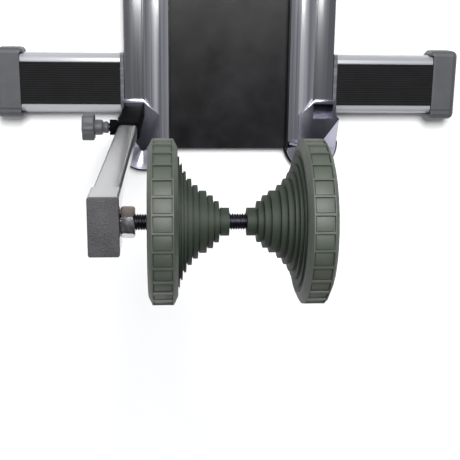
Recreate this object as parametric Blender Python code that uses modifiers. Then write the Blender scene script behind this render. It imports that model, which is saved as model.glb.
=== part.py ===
"""Bike parking stand: a floor base with one telescopic post, whose rod holds a wheel between two cones.

X runs to the right, Y forward and Z up, in metres. The origin is on the floor below the middle.
"""
import math

import bmesh
import bpy
from mathutils import Matrix

# Clearance between pieces that touch
FIT = 0.0003

# Base rails
BASE_LENGTH = 0.370
RAIL_SPACING = 0.188
RAIL_WIDTH = 0.050
RAIL_HEIGHT = 0.025
RAIL_WALL = 0.002
RAIL_CORNER = 0.004
GROUND_CLEARANCE = 0.005

# Rear feet, which wrap the mitred ends of the rails
FOOT_LENGTH = 0.084
FOOT_RADIUS = 0.0287
FOOT_HEIGHT = 0.028
FOOT_FRONT_WIDTH = 0.025
FOOT_SIDE = 0.004
FOOT_LAP = 0.011
FOOT_LAP_LENGTH = 0.049
FOOT_EDGE = 0.0018
HEEL_WALL = 0.0085
HEEL_CROWN = 0.36
FOOT_PAD_HEIGHT = 0.006
FOOT_PAD_LIP = 0.0008
SOCKET_DEPTH = 0.024

# Side wings
WING_LENGTH = 0.1107
WING_WIDTH = 0.0665
WING_AHEAD_OF_FOOT = 0.01725
WING_HEIGHT = 0.025
WING_WALL = 0.002
WING_CORNER = 0.009
MAT_THICKNESS = 0.002
MAT_MARGIN = 0.010
WING_CAP_LENGTH = 0.0277
WING_CAP_MARGIN = 0.0055
WING_CAP_HEIGHT = 0.033
WING_CAP_CORNER = 0.006
WING_CAP_CHEEK = 0.0045
CAP_GROOVE = 0.0016
SPIGOT_LENGTH = 0.014

# Front beam and what lies between the rails
FRONT_BEAM_LENGTH = 0.380
FRONT_BEAM_WIDTH = 0.0332
FRONT_CAP_LENGTH = 0.013
FRONT_CAP_MARGIN = 0.0007
FRONT_CAP_HEIGHT = 0.031
CROSS_BAR_WIDTH = 0.030
CROSS_BAR_THICKNESS = 0.006
CROSS_BAR_INSET = 0.045
TRAY_SHEET = 0.0015
TRAY_DEPTH = 0.0165
TRAY_REAR_INSET = 0.025

# Telescopic post
POST_INSET = 0.0112
POST_SETBACK = 0.013
POST_WIDTH = 0.018
POST_DEPTH = 0.012
POST_WALL = 0.0015
POST_CORNER = 0.0015
POST_FOOT_Z = 0.095
POST_PLUG_LIP = 0.0025
POST_PLUG_DEPTH = 0.010
SLEEVE_WALL = 0.0017
SLEEVE_TOP_Z = 0.196
BUSH_HEIGHT = 0.004

# Clamp at the side of the sleeve
CLAMP_Z = 0.175
STUD_RADIUS = 0.004
BOSS_RADIUS = 0.0075
BOSS_LENGTH = 0.007
PAD_THICKNESS = 0.0025
KNOB_GAP = 0.0012
KNOB_NECK_RADIUS = 0.0074
KNOB_NECK_LENGTH = 0.008
KNOB_COLLAR_RADIUS = 0.0056
KNOB_COLLAR_LENGTH = 0.0055
KNOB_RADIUS = 0.015
KNOB_THICKNESS = 0.012
KNOB_LOBES = 6
KNOB_LOBE_DEPTH = 0.0022
KNOB_EDGE = 0.0012
STUD_IN_KNOB = 0.019

# Head of the post, rod and nuts
ROD_BEHIND_POST = 0.0109
ROD_Z = 0.518
ROD_RADIUS = 0.005
HEAD_WIDTH = 0.0187
HEAD_DEPTH = 0.036
HEAD_BELOW_ROD = 0.018
HEAD_ABOVE_ROD = 0.0125
HEAD_WALL = 0.002
HEAD_EDGE = 0.0012
HEAD_CAP_THICKNESS = 0.0012
HEAD_CAP_SPIGOT = 0.002
NUT_FLATS = 0.017
NUT_THICKNESS = 0.0084
ROD_CAP_RADIUS = 0.0088
ROD_CAP_THICKNESS = 0.0038
ROD_CAP_EDGE = 0.0012
ROD_CAP_COVER = 0.0021
ROD_CAP_GAP = 0.0035

# Stepped cones: each step has its radius and its length along the rod
CONE_GAP = 0.0107
CONE_REACH = 0.07965
CONE_RADIUS = 0.050
CONE_RIM_WIDTH = 0.0175
CONE_RIM_CHAMFER = 0.0025
CONE_RIM_DROP = 0.0052
CONE_STEPS = (
    (0.0400, 0.0010),
    (0.0350, 0.0017),
    (0.0304, 0.0022),
    (0.0260, 0.0033),
    (0.0222, 0.0037),
    (0.0188, 0.0052),
    (0.0160, 0.0039),
    (0.0125, 0.0036),
    (0.0085, 0.0062),
)
CONE_WALL = 0.003
CONE_RIM_WALL = 0.0066
CONE_PADS = 30
PAD_DEPTH = 0.0012
PAD_RIB = 0.0016
PAD_END = 0.0007
CONE_RIBS = 6
RIB_THICKNESS = 0.0025
RIB_INSET = 0.002
HUB_RADIUS = 0.0115
INSERT_RADIUS = 0.0075
INSERT_LENGTH = 0.016

# Facets round a turned piece
CONE_FACETS = 40
ROD_FACETS = 24
ARC_STEPS = 4

# Where the pieces meet, worked out from the sizes above
REAR_Y = -BASE_LENGTH / 2
FRONT_Y = BASE_LENGTH / 2
RAIL_INNER_X = RAIL_SPACING / 2 - RAIL_WIDTH / 2
RAIL_OUTER_X = RAIL_SPACING / 2 + RAIL_WIDTH / 2
RAIL_Z = GROUND_CLEARANCE + RAIL_HEIGHT / 2
FOOT_FRONT_Y = REAR_Y + FOOT_LENGTH
FOOT_OUTER_X = RAIL_OUTER_X + FOOT_SIDE
FOOT_CENTRE_X = RAIL_INNER_X + FOOT_RADIUS + FOOT_PAD_LIP
FOOT_CENTRE_Y = REAR_Y + FOOT_RADIUS + FOOT_PAD_LIP
FOOT_BOTTOM_Z = FOOT_PAD_HEIGHT + FIT
FOOT_TOP_Z = FOOT_BOTTOM_Z + FOOT_HEIGHT
LAP_X = RAIL_INNER_X + FOOT_LAP
LAP_END_Y = FOOT_FRONT_Y - FOOT_LAP_LENGTH
MITRE_X = FOOT_OUTER_X - FOOT_FRONT_WIDTH
SOCKET_FLOOR_Z = FOOT_TOP_Z - SOCKET_DEPTH
WING_START_X = FOOT_OUTER_X + FIT
WING_REACH = WING_START_X + WING_LENGTH
WING_CENTRE_Y = FOOT_FRONT_Y + WING_AHEAD_OF_FOOT
WING_FRONT_Y = WING_CENTRE_Y + WING_WIDTH / 2
WING_REAR_Y = WING_CENTRE_Y - WING_WIDTH / 2
WING_TOP_Z = GROUND_CLEARANCE + WING_HEIGHT
BEAM_Y = FRONT_Y - FRONT_CAP_MARGIN - FRONT_BEAM_WIDTH / 2
BEAM_REAR_Y = BEAM_Y - FRONT_BEAM_WIDTH / 2
RAIL_FRONT_Y = BEAM_REAR_Y - FIT
POST_X = POST_INSET - RAIL_OUTER_X
POST_Y = FOOT_FRONT_Y - POST_SETBACK
ROD_Y = POST_Y - ROD_BEHIND_POST
SLEEVE_WIDTH = POST_WIDTH + 2 * FIT + 2 * SLEEVE_WALL
SLEEVE_DEPTH = POST_DEPTH + 2 * FIT + 2 * SLEEVE_WALL
SLEEVE_LEFT_X = POST_X - SLEEVE_WIDTH / 2
POST_LEFT_X = POST_X - POST_WIDTH / 2
PAD_X = POST_LEFT_X - FIT
BOSS_X = SLEEVE_LEFT_X - FIT
NECK_X = BOSS_X - BOSS_LENGTH - KNOB_GAP
KNOB_X = NECK_X - KNOB_COLLAR_LENGTH - KNOB_NECK_LENGTH
STUD_X = PAD_X - PAD_THICKNESS - FIT
STUD_END_X = NECK_X - STUD_IN_KNOB
HEAD_TOP_Z = ROD_Z + HEAD_ABOVE_ROD
HEAD_BOTTOM_Z = ROD_Z - HEAD_BELOW_ROD
HEAD_RIGHT_X = POST_X + HEAD_WIDTH / 2
HEAD_LEFT_X = POST_X - HEAD_WIDTH / 2
POST_TOP_Z = HEAD_BOTTOM_Z - FIT
ROD_START_X = HEAD_LEFT_X + HEAD_WALL + FIT
CONE_LENGTH = CONE_RIM_WIDTH + sum(length for radius, length in CONE_STEPS)
CONE_MIDDLE_X = POST_X + CONE_REACH
CONE_LEFT_X = CONE_MIDDLE_X - CONE_GAP / 2 - CONE_LENGTH
CONE_RIGHT_X = CONE_MIDDLE_X + CONE_GAP / 2 + CONE_LENGTH
ROD_CAP_X = CONE_RIGHT_X + ROD_CAP_GAP
ROD_END_X = ROD_CAP_X + ROD_CAP_COVER
BORE_RADIUS = ROD_RADIUS + FIT

ALONG_X = (math.pi / 2, 0.0, math.pi / 2)
ALONG_Y = (math.pi / 2, 0.0, 0.0)
UPRIGHT = (0.0, 0.0, 0.0)
TURNED_TO_RIGHT = (0.0, math.pi / 2, 0.0)
TURNED_TO_LEFT = (0.0, -math.pi / 2, 0.0)
SIDES = (("left", -1.0), ("right", 1.0))


def clear_scene():
    """Removes whatever the scene holds, and makes one collection for parts and one for cutters."""
    for old in list(bpy.data.objects):
        bpy.data.objects.remove(old)
    parts = bpy.data.collections.new("bike_parking_stand")
    cutters = bpy.data.collections.new("cutters")
    bpy.context.scene.collection.children.link(parts)
    bpy.context.scene.collection.children.link(cutters)
    return parts, cutters


PARTS, CUTTERS = clear_scene()


def linear(hex_colour):
    """Turns an sRGB hex colour into the linear values that a material takes."""
    values = [int(hex_colour[i:i + 2], 16) / 255 for i in (1, 3, 5)]
    return [v / 12.92 if v <= 0.04045 else ((v + 0.055) / 1.055) ** 2.4 for v in values] + [1.0]


def make_material(name, hex_colour, roughness, metallic):
    """A plain Principled material in the colour that the photograph shows."""
    material = bpy.data.materials.new(name)
    material.use_nodes = True
    shader = material.node_tree.nodes["Principled BSDF"]
    shader.inputs["Base Color"].default_value = linear(hex_colour)
    shader.inputs["Roughness"].default_value = roughness
    shader.inputs["Metallic"].default_value = metallic
    material.diffuse_color = linear(hex_colour)
    return material


RAIL_PAINT = make_material("grey_gloss_paint", "#7f8086", 0.30, 0.2)
BLACK_PAINT = make_material("black_gloss_paint", "#17181b", 0.28, 0.2)
POST_PAINT = make_material("black_post_paint", "#1c1d20", 0.22, 0.3)
BLACK_PLASTIC = make_material("black_plastic", "#3a3b3e", 0.55, 0.0)
CAP_PLASTIC = make_material("textured_cap_plastic", "#59595c", 0.70, 0.0)
RUBBER = make_material("black_rubber", "#1f1f21", 0.85, 0.0)
BRIGHT_ZINC = make_material("bright_zinc", "#b9b4ae", 0.30, 1.0)
BLACK_OXIDE = make_material("black_oxide_steel", "#26272b", 0.40, 0.9)
GREEN_PLASTIC = make_material("army_green_plastic", "#4f594a", 0.60, 0.0)
BRASS = make_material("turned_brass", "#b0954f", 0.35, 1.0)


def place(mesh, name, material, location, rotation=UPRIGHT):
    """Makes a mesh a named, shaded part at its place."""
    mesh.name = name
    mesh.materials.clear()
    mesh.materials.append(material)
    mesh.shade_smooth()
    mesh.set_sharp_from_angle(angle=math.radians(35))
    part = bpy.data.objects.new(name, mesh)
    part.location = location
    part.rotation_euler = rotation
    PARTS.objects.link(part)
    return part


def place_cutter(mesh, name, location, rotation=UPRIGHT):
    """Makes a mesh a cutter, which the render leaves out."""
    mesh.name = name
    cutter = bpy.data.objects.new(name, mesh)
    cutter.location = location
    cutter.rotation_euler = rotation
    cutter.hide_render = True
    cutter.display_type = "WIRE"
    CUTTERS.objects.link(cutter)
    return cutter


def combine(part, other, operation):
    """Adds a Boolean modifier that cuts or joins."""
    boolean = part.modifiers.new(operation.lower(), "BOOLEAN")
    boolean.operation = operation
    boolean.solver = "EXACT"
    boolean.object = other


def round_edges(part, width, segments=2, angle=40):
    """Rounds the sharp edges of a part."""
    bevel = part.modifiers.new("rounded_edges", "BEVEL")
    bevel.width = width
    bevel.segments = segments
    bevel.limit_method = "ANGLE"
    bevel.angle_limit = math.radians(angle)


def box_mesh(size_x, size_y, size_z):
    """A box about its own middle."""
    bm = bmesh.new()
    bmesh.ops.create_cube(bm, size=1.0)
    bmesh.ops.scale(bm, vec=(size_x, size_y, size_z), verts=bm.verts)
    mesh = bpy.data.meshes.new("box")
    bm.to_mesh(mesh)
    bm.free()
    return mesh


def cylinder_mesh(radius, length, facets=ROD_FACETS):
    """A cylinder along its own Z, about its own middle."""
    bm = bmesh.new()
    bmesh.ops.create_cone(bm, cap_ends=True, segments=facets, radius1=radius, radius2=radius, depth=length)
    mesh = bpy.data.meshes.new("cylinder")
    bm.to_mesh(mesh)
    bm.free()
    return mesh


def arc(centre_x, centre_y, radius, start, end, steps):
    """Points along an arc, with its angles in degrees."""
    points = []
    for i in range(steps + 1):
        angle = math.radians(start + (end - start) * i / steps)
        points.append((centre_x + radius * math.cos(angle), centre_y + radius * math.sin(angle)))
    return points


def rounded_rectangle(width, height, radius):
    """The outline of a rectangle with round corners."""
    half_x = width / 2 - radius
    half_y = height / 2 - radius
    points = []
    for corner_x, corner_y, start in ((1, 1, 0), (-1, 1, 90), (-1, -1, 180), (1, -1, 270)):
        points += arc(corner_x * half_x, corner_y * half_y, radius, start, start + 90, ARC_STEPS)
    return points


def plate_mesh(outlines, thickness):
    """Fills flat outlines, the second as a hole in the first, and gives them a thickness along Z."""
    curve = bpy.data.curves.new("outline", "CURVE")
    curve.dimensions = "2D"
    curve.fill_mode = "BOTH"
    curve.extrude = thickness / 2
    for outline in outlines:
        spline = curve.splines.new("POLY")
        spline.points.add(len(outline) - 1)
        for point, (x, y) in zip(spline.points, outline):
            point.co = (x, y, 0.0, 1.0)
        spline.use_cyclic_u = True
    holder = bpy.data.objects.new("outline", curve)
    PARTS.objects.link(holder)
    bpy.context.view_layer.update()
    evaluated = holder.evaluated_get(bpy.context.evaluated_depsgraph_get())
    mesh = bpy.data.meshes.new_from_object(evaluated)
    bpy.data.objects.remove(holder)
    bm = bmesh.new()
    bm.from_mesh(mesh)
    bmesh.ops.remove_doubles(bm, verts=bm.verts, dist=0.00001)
    bmesh.ops.recalc_face_normals(bm, faces=bm.faces)
    bm.to_mesh(mesh)
    bm.free()
    return mesh


def tube_mesh(width, height, corner, wall, length):
    """A rectangular tube along its own Z, open at both ends."""
    outer = rounded_rectangle(width, height, corner)
    inner_corner = max(corner - wall, wall / 4)
    inner = rounded_rectangle(width - 2 * wall, height - 2 * wall, inner_corner)
    return plate_mesh((outer, inner), length)


def profile_mesh(profile, closed=False):
    """A profile, given as radius and height, ready to be turned."""
    mesh = bpy.data.meshes.new("profile")
    edges = [(i, i + 1) for i in range(len(profile) - 1)]
    if closed:
        edges.append((len(profile) - 1, 0))
    mesh.from_pydata([(radius, 0.0, height) for radius, height in profile], edges, [])
    return mesh


def turn_profile(turned, facets):
    """Turns an object's profile about its own Z."""
    screw = turned.modifiers.new("turned", "SCREW")
    screw.steps = facets
    screw.render_steps = facets
    screw.use_merge_vertices = True
    screw.merge_threshold = 0.00001
    screw.use_smooth_shade = True


def foot_outline(side):
    """The foot seen from above: a mitred front, a notch that takes the rail's strip and a round end."""
    wing_clear_y = WING_REAR_Y - 5 * FIT
    foot_side_x = FOOT_CENTRE_X + FOOT_RADIUS
    points = [
        (FOOT_OUTER_X, FOOT_FRONT_Y),
        (MITRE_X, FOOT_FRONT_Y),
        (LAP_X, FOOT_FRONT_Y - (MITRE_X - LAP_X)),
        (LAP_X, LAP_END_Y),
        (FOOT_CENTRE_X - FOOT_RADIUS, LAP_END_Y),
    ]
    points += arc(FOOT_CENTRE_X, FOOT_CENTRE_Y, FOOT_RADIUS, 180, 360, 6 * ARC_STEPS)
    points.append((foot_side_x, wing_clear_y - (foot_side_x - FOOT_OUTER_X)))
    points.append((FOOT_OUTER_X, wing_clear_y))
    return [(side * x, y) for x, y in points]


def rail_cut_outline(side):
    """What the foot takes out of the rail's end, with its clearance."""
    mitre_shift = FIT * (math.sqrt(2) - 1)
    beyond_x = FOOT_OUTER_X + RAIL_WIDTH
    beyond_y = REAR_Y
    points = [
        (beyond_x, FOOT_FRONT_Y + FIT),
        (MITRE_X - mitre_shift, FOOT_FRONT_Y + FIT),
        (LAP_X - FIT, FOOT_FRONT_Y - (MITRE_X - LAP_X) + mitre_shift),
        (LAP_X - FIT, beyond_y),
        (beyond_x, beyond_y),
    ]
    return [(side * x, y) for x, y in points]


def make_rail(label, side):
    """A base rail, a hollow steel section that runs to the front beam."""
    rear_y = LAP_END_Y + FIT
    length = RAIL_FRONT_Y - rear_y
    mesh = tube_mesh(RAIL_WIDTH, RAIL_HEIGHT, RAIL_CORNER, RAIL_WALL, length)
    centre = (side * RAIL_SPACING / 2, rear_y + length / 2, RAIL_Z)
    rail = place(mesh, "rail_" + label, RAIL_PAINT, centre, ALONG_Y)
    outline = plate_mesh([rail_cut_outline(side)], 2 * RAIL_HEIGHT)
    cutter = place_cutter(outline, "rail_cut_" + label, (0, 0, RAIL_Z))
    combine(rail, cutter, "DIFFERENCE")


def foot_mesh(side):
    """The foot's body: flat above round the socket, and falling away to a round heel behind."""
    bm = bmesh.new()
    bm.from_mesh(plate_mesh([foot_outline(side)], FOOT_HEIGHT))
    everything = bm.verts[:] + bm.edges[:] + bm.faces[:]
    wall_top = (0.0, 0.0, HEEL_WALL - FOOT_HEIGHT / 2)
    bmesh.ops.bisect_plane(bm, geom=everything, plane_co=wall_top, plane_no=(0.0, 0.0, 1.0))
    top = [vert for vert in bm.verts if vert.co.z > FOOT_HEIGHT / 2 - FIT]
    top_faces = [face for face in bm.faces if all(vert in top for vert in face.verts)]
    bmesh.ops.delete(bm, geom=top_faces, context="FACES_ONLY")
    heel_x = side * FOOT_CENTRE_X
    for vert in top:
        if vert.co.y < FOOT_CENTRE_Y + FIT:
            vert.co.x = heel_x + (vert.co.x - heel_x) * HEEL_CROWN
            vert.co.y = FOOT_CENTRE_Y + (vert.co.y - FOOT_CENTRE_Y) * HEEL_CROWN
    loose = [edge for edge in bm.edges if edge.is_wire]
    bmesh.ops.delete(bm, geom=loose, context="EDGES")
    rim = [edge for edge in bm.edges if edge.is_boundary]
    bmesh.ops.triangle_fill(bm, use_beauty=True, edges=rim)
    bmesh.ops.recalc_face_normals(bm, faces=bm.faces)
    mesh = bpy.data.meshes.new("foot")
    bm.to_mesh(mesh)
    bm.free()
    return mesh


def make_foot(label, side):
    """A cast rear foot with a socket for a post's sleeve."""
    foot = place(foot_mesh(side), "rear_foot_" + label, BLACK_PAINT, (0, 0, FOOT_BOTTOM_Z + FOOT_HEIGHT / 2))
    round_edges(foot, FOOT_EDGE, 2, 60)
    socket = box_mesh(SLEEVE_WIDTH + 2 * FIT, SLEEVE_DEPTH + 2 * FIT, 2 * SOCKET_DEPTH)
    cutter = place_cutter(socket, "socket_cut_" + label, (-side * POST_X, POST_Y, FOOT_TOP_Z))
    combine(foot, cutter, "DIFFERENCE")


def make_foot_pad(label, side):
    """A rubber pad below a rear foot, which shows as a thin lip."""
    lip_radius = FOOT_RADIUS + FOOT_PAD_LIP
    points = arc(FOOT_CENTRE_X, FOOT_CENTRE_Y, lip_radius, 180, 360, 6 * ARC_STEPS)
    points.append((FOOT_CENTRE_X + lip_radius, LAP_END_Y - FIT))
    points.append((FOOT_CENTRE_X - lip_radius, LAP_END_Y - FIT))
    mesh = plate_mesh([[(side * x, y) for x, y in points]], FOOT_PAD_HEIGHT)
    place(mesh, "foot_pad_" + label, RUBBER, (0, 0, FOOT_PAD_HEIGHT / 2))


def make_wing(label, side):
    """A side wing, a rounded hollow section that keeps the stand from tipping."""
    length = WING_REACH - WING_START_X
    mesh = tube_mesh(WING_WIDTH, WING_HEIGHT, WING_CORNER, WING_WALL, length)
    centre = (side * (WING_START_X + length / 2), WING_CENTRE_Y, GROUND_CLEARANCE + WING_HEIGHT / 2)
    place(mesh, "wing_" + label, BLACK_PAINT, centre, ALONG_X)


def make_wing_flange(label, side):
    """The plate between a rail's side and its wing."""
    start_x = RAIL_OUTER_X + FIT
    thickness = WING_START_X - FIT - start_x
    rear_y = FOOT_FRONT_Y + FIT
    mesh = box_mesh(thickness, WING_FRONT_Y - rear_y, WING_HEIGHT)
    centre_y = (WING_FRONT_Y + rear_y) / 2
    centre = (side * (start_x + thickness / 2), centre_y, GROUND_CLEARANCE + WING_HEIGHT / 2)
    place(mesh, "wing_flange_" + label, BLACK_PAINT, centre)


def make_mat(label, side):
    """A rubber tread mat that lies on a wing."""
    length = WING_REACH - WING_START_X
    mesh = box_mesh(length, WING_WIDTH - 2 * MAT_MARGIN, MAT_THICKNESS)
    centre = (side * (WING_START_X + length / 2), WING_CENTRE_Y, WING_TOP_Z + FIT + MAT_THICKNESS / 2)
    mat = place(mesh, "tread_mat_" + label, RUBBER, centre)
    round_edges(mat, MAT_THICKNESS / 4, 1)


def make_wing_cap(label, side):
    """The plastic end of a wing: a foot with a groove across, two cheeks and a spigot in the section."""
    start_x = WING_REACH + FIT
    width = WING_WIDTH + 2 * WING_CAP_MARGIN
    mesh = box_mesh(WING_CAP_LENGTH + WING_CAP_CHEEK, width, WING_CAP_HEIGHT)
    centre_x = side * (start_x + (WING_CAP_LENGTH - WING_CAP_CHEEK) / 2)
    centre = (centre_x, WING_CENTRE_Y, WING_CAP_HEIGHT / 2)
    cap = place(mesh, "wing_cap_" + label, BLACK_PLASTIC, centre)
    round_edges(cap, WING_CAP_CORNER, 3)
    between = box_mesh(2 * WING_CAP_CHEEK, WING_WIDTH + 2 * FIT, 2 * WING_CAP_HEIGHT)
    between_x = side * (start_x - WING_CAP_CHEEK)
    cheek_cut = place_cutter(between, "cap_between_" + label, (between_x, WING_CENTRE_Y, WING_CAP_HEIGHT / 2))
    combine(cap, cheek_cut, "DIFFERENCE")
    bore_width = WING_WIDTH - 2 * WING_WALL - 2 * FIT
    bore_height = WING_HEIGHT - 2 * WING_WALL - 2 * FIT
    outline = rounded_rectangle(bore_width, bore_height, WING_CORNER - WING_WALL)
    spigot = plate_mesh([outline], 2 * SPIGOT_LENGTH)
    section_z = GROUND_CLEARANCE + WING_HEIGHT / 2
    joined = place_cutter(spigot, "wing_spigot_" + label, (side * start_x, WING_CENTRE_Y, section_z), ALONG_X)
    combine(cap, joined, "UNION")
    groove_y = WING_REAR_Y + WING_CORNER / 2
    groove = box_mesh(2 * WING_CAP_LENGTH, CAP_GROOVE, 2 * CAP_GROOVE)
    groove_x = side * (start_x + WING_CAP_LENGTH / 2)
    cutter = place_cutter(groove, "cap_groove_" + label, (groove_x, groove_y, WING_CAP_HEIGHT))
    combine(cap, cutter, "DIFFERENCE")


def make_cross_bar(name, centre_y):
    """A flat bar between the rails, below the wheel channel."""
    mesh = box_mesh(2 * (RAIL_INNER_X - FIT), CROSS_BAR_WIDTH, CROSS_BAR_THICKNESS)
    place(mesh, name, BLACK_PAINT, (0, centre_y, GROUND_CLEARANCE + CROSS_BAR_THICKNESS / 2))


def make_tray():
    """The wheel channel, a folded sheet between the rails."""
    half = RAIL_INNER_X - FIT
    points = [
        (-half, TRAY_DEPTH), (-half, 0.0), (half, 0.0), (half, TRAY_DEPTH),
        (half - TRAY_SHEET, TRAY_DEPTH), (half - TRAY_SHEET, TRAY_SHEET),
        (TRAY_SHEET - half, TRAY_SHEET), (TRAY_SHEET - half, TRAY_DEPTH),
    ]
    rear_y = REAR_Y + TRAY_REAR_INSET
    length = RAIL_FRONT_Y - rear_y
    floor_z = GROUND_CLEARANCE + CROSS_BAR_THICKNESS + FIT
    place(plate_mesh([points], length), "wheel_tray", BLACK_PAINT, (0, rear_y + length / 2, floor_z), ALONG_Y)


def make_front_beam():
    """The hollow beam across the front, which the rails butt against."""
    mesh = tube_mesh(FRONT_BEAM_WIDTH, RAIL_HEIGHT, RAIL_CORNER, RAIL_WALL, FRONT_BEAM_LENGTH)
    place(mesh, "front_beam", RAIL_PAINT, (0, BEAM_Y, RAIL_Z), ALONG_X)


def make_front_cap(label, side):
    """The plastic foot at an end of the front beam."""
    start_x = FRONT_BEAM_LENGTH / 2 + FIT
    mesh = box_mesh(FRONT_CAP_LENGTH, FRONT_BEAM_WIDTH + 2 * FRONT_CAP_MARGIN, FRONT_CAP_HEIGHT)
    centre = (side * (start_x + FRONT_CAP_LENGTH / 2), BEAM_Y, FRONT_CAP_HEIGHT / 2)
    cap = place(mesh, "front_cap_" + label, BLACK_PLASTIC, centre)
    round_edges(cap, RAIL_CORNER, 2)
    bore_width = FRONT_BEAM_WIDTH - 2 * RAIL_WALL - 2 * FIT
    bore_height = RAIL_HEIGHT - 2 * RAIL_WALL - 2 * FIT
    outline = rounded_rectangle(bore_width, bore_height, RAIL_CORNER - RAIL_WALL)
    spigot = plate_mesh([outline], 2 * SPIGOT_LENGTH)
    joined = place_cutter(spigot, "front_spigot_" + label, (side * start_x, BEAM_Y, RAIL_Z), ALONG_X)
    combine(cap, joined, "UNION")


def make_sleeve():
    """The outer tube of the post, which stands in the left foot's socket."""
    bottom_z = SOCKET_FLOOR_Z + FIT
    length = SLEEVE_TOP_Z - bottom_z
    mesh = tube_mesh(SLEEVE_WIDTH, SLEEVE_DEPTH, POST_CORNER + SLEEVE_WALL / 2, SLEEVE_WALL, length)
    sleeve = place(mesh, "post_sleeve", BLACK_PAINT, (POST_X, POST_Y, bottom_z + length / 2))
    hole = cylinder_mesh(STUD_RADIUS + FIT, 2 * POST_WALL + SLEEVE_WALL)
    cutter = place_cutter(hole, "sleeve_hole", (SLEEVE_LEFT_X, POST_Y, CLAMP_Z), TURNED_TO_RIGHT)
    combine(sleeve, cutter, "DIFFERENCE")


def make_bush():
    """The plastic ring on top of the sleeve, which guides the inner tube."""
    mesh = tube_mesh(SLEEVE_WIDTH, SLEEVE_DEPTH, POST_CORNER + SLEEVE_WALL / 2, SLEEVE_WALL, BUSH_HEIGHT)
    place(mesh, "sleeve_bush", BLACK_PLASTIC, (POST_X, POST_Y, SLEEVE_TOP_Z + FIT + BUSH_HEIGHT / 2))


def make_boss():
    """The round boss on the sleeve that the clamp's stud screws into."""
    centre = (BOSS_X - BOSS_LENGTH / 2, POST_Y, CLAMP_Z)
    boss = place(cylinder_mesh(BOSS_RADIUS, BOSS_LENGTH), "clamp_boss", BLACK_PAINT, centre, TURNED_TO_RIGHT)
    bore = cylinder_mesh(STUD_RADIUS + FIT, 2 * BOSS_LENGTH)
    combine(boss, place_cutter(bore, "boss_bore", centre, TURNED_TO_RIGHT), "DIFFERENCE")


def make_clamp_pad():
    """The disc at the stud's tip that presses on the inner tube."""
    centre = (PAD_X - PAD_THICKNESS / 2, POST_Y, CLAMP_Z)
    place(cylinder_mesh(STUD_RADIUS, PAD_THICKNESS), "clamp_pad", BRASS, centre, TURNED_TO_RIGHT)


def make_stud():
    """The clamp's threaded stud, fixed in the knob."""
    length = STUD_X - STUD_END_X
    centre = (STUD_X - length / 2, POST_Y, CLAMP_Z)
    place(cylinder_mesh(STUD_RADIUS, length), "knob_stud", BLACK_OXIDE, centre, TURNED_TO_RIGHT)


def make_knob():
    """The star knob: a lobed head on a neck with a slimmer collar, and a blind bore for the stud."""
    middle_radius = KNOB_RADIUS - KNOB_LOBE_DEPTH / 2
    count = 8 * KNOB_LOBES
    points = []
    for i in range(count):
        angle = 2 * math.pi * i / count
        radius = middle_radius + KNOB_LOBE_DEPTH / 2 * math.cos(KNOB_LOBES * angle)
        points.append((radius * math.cos(angle), radius * math.sin(angle)))
    centre = (KNOB_X - KNOB_THICKNESS / 2, POST_Y, CLAMP_Z)
    knob = place(plate_mesh([points], KNOB_THICKNESS), "clamp_knob", BLACK_PLASTIC, centre, TURNED_TO_RIGHT)
    round_edges(knob, KNOB_EDGE, 2, 60)
    neck_length = KNOB_NECK_LENGTH + KNOB_THICKNESS / 2
    neck_x = NECK_X - KNOB_COLLAR_LENGTH - neck_length / 2
    neck = place_cutter(cylinder_mesh(KNOB_NECK_RADIUS, neck_length), "knob_neck", (neck_x, POST_Y, CLAMP_Z),
                        TURNED_TO_RIGHT)
    combine(knob, neck, "UNION")
    collar_length = KNOB_COLLAR_LENGTH + KNOB_NECK_LENGTH / 2
    collar = place_cutter(cylinder_mesh(KNOB_COLLAR_RADIUS, collar_length), "knob_collar",
                          (NECK_X - collar_length / 2, POST_Y, CLAMP_Z), TURNED_TO_RIGHT)
    combine(knob, collar, "UNION")
    bore_end_x = STUD_END_X - FIT
    bore_length = 2 * (NECK_X - bore_end_x)
    bore = place_cutter(cylinder_mesh(STUD_RADIUS + FIT, bore_length), "knob_bore", (NECK_X, POST_Y, CLAMP_Z),
                        TURNED_TO_RIGHT)
    combine(knob, bore, "DIFFERENCE")


def make_post_tube():
    """The inner tube of the post, which slides in the sleeve."""
    length = POST_TOP_Z - POST_FOOT_Z
    mesh = tube_mesh(POST_WIDTH, POST_DEPTH, POST_CORNER, POST_WALL, length)
    place(mesh, "post_tube", POST_PAINT, (POST_X, POST_Y, POST_FOOT_Z + length / 2))


def make_post_plug():
    """The glide plug at the lower end of the inner tube."""
    lip_z = POST_FOOT_Z - FIT - POST_PLUG_LIP / 2
    mesh = plate_mesh([rounded_rectangle(POST_WIDTH, POST_DEPTH, POST_CORNER)], POST_PLUG_LIP)
    plug = place(mesh, "post_plug", BLACK_PLASTIC, (POST_X, POST_Y, lip_z))
    bore_width = POST_WIDTH - 2 * POST_WALL - 2 * FIT
    bore_depth = POST_DEPTH - 2 * POST_WALL - 2 * FIT
    spigot = box_mesh(bore_width, bore_depth, POST_PLUG_DEPTH)
    spigot_z = lip_z + POST_PLUG_DEPTH / 2
    combine(plug, place_cutter(spigot, "post_spigot", (POST_X, POST_Y, spigot_z)), "UNION")


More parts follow.
